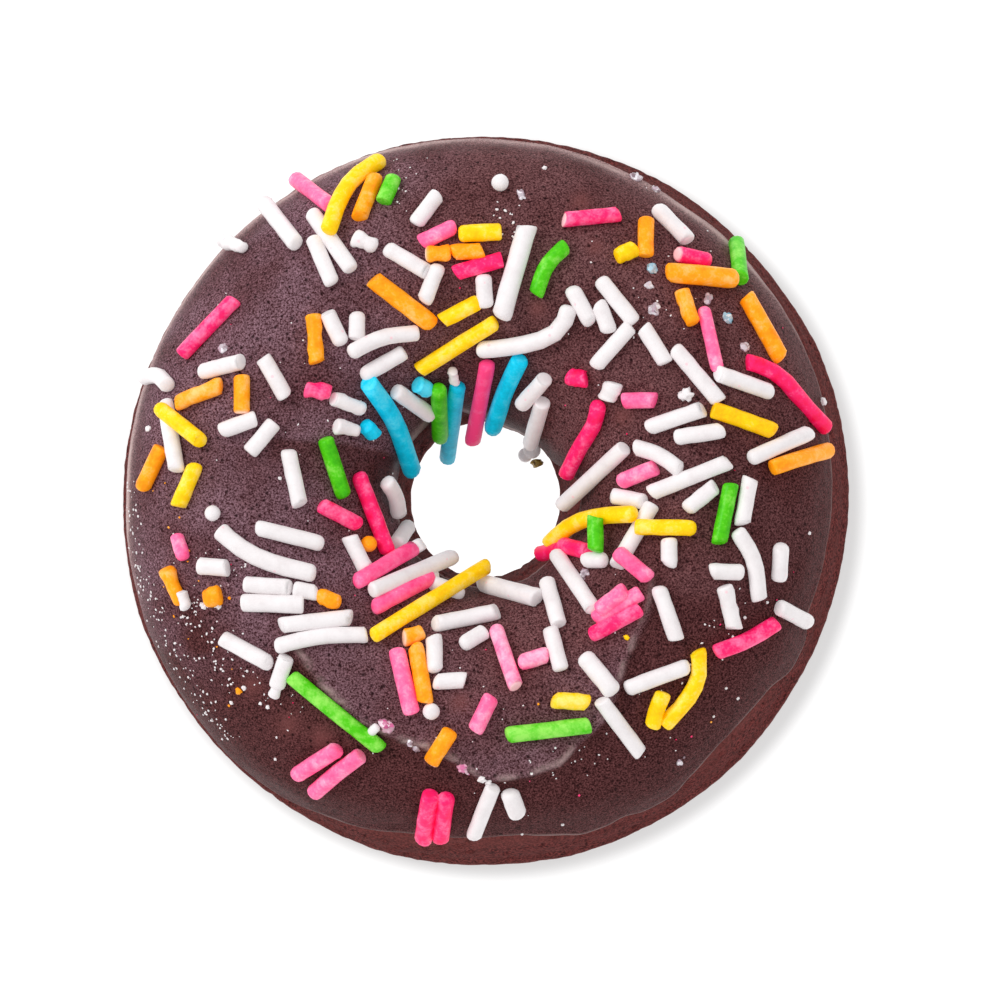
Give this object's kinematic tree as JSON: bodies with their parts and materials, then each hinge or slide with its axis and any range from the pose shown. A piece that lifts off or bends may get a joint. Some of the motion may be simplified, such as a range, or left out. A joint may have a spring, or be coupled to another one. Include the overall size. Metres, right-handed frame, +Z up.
{
  "type": "frosted ring doughnut",
  "caption": "Ring doughnut of dark cocoa cake with a flat underside, frosted over its upper half and strewn with coloured sugar sprinkles.",
  "frame": {"origin": "middle of the hole on the surface that the doughnut rests on", "axes": "+Z up through the hole; +X to the right and +Y to the back with the thin stretch of frosting at the front right"},
  "size_m": [0.0796, 0.0804, 0.024],
  "materials": {
    "cocoa_cake": "matte",
    "cocoa_frosting": "satin",
    "white_sugar": "satin",
    "light_pink_sugar": "satin",
    "hot_pink_sugar": "satin",
    "yellow_sugar": "satin",
    "orange_sugar": "satin",
    "green_sugar": "satin",
    "blue_sugar": "satin"
  },
  "bodies": {
    "root": {"cake": "cocoa_cake", "frosting": "cocoa_frosting"}
  },
  "joints": []
}
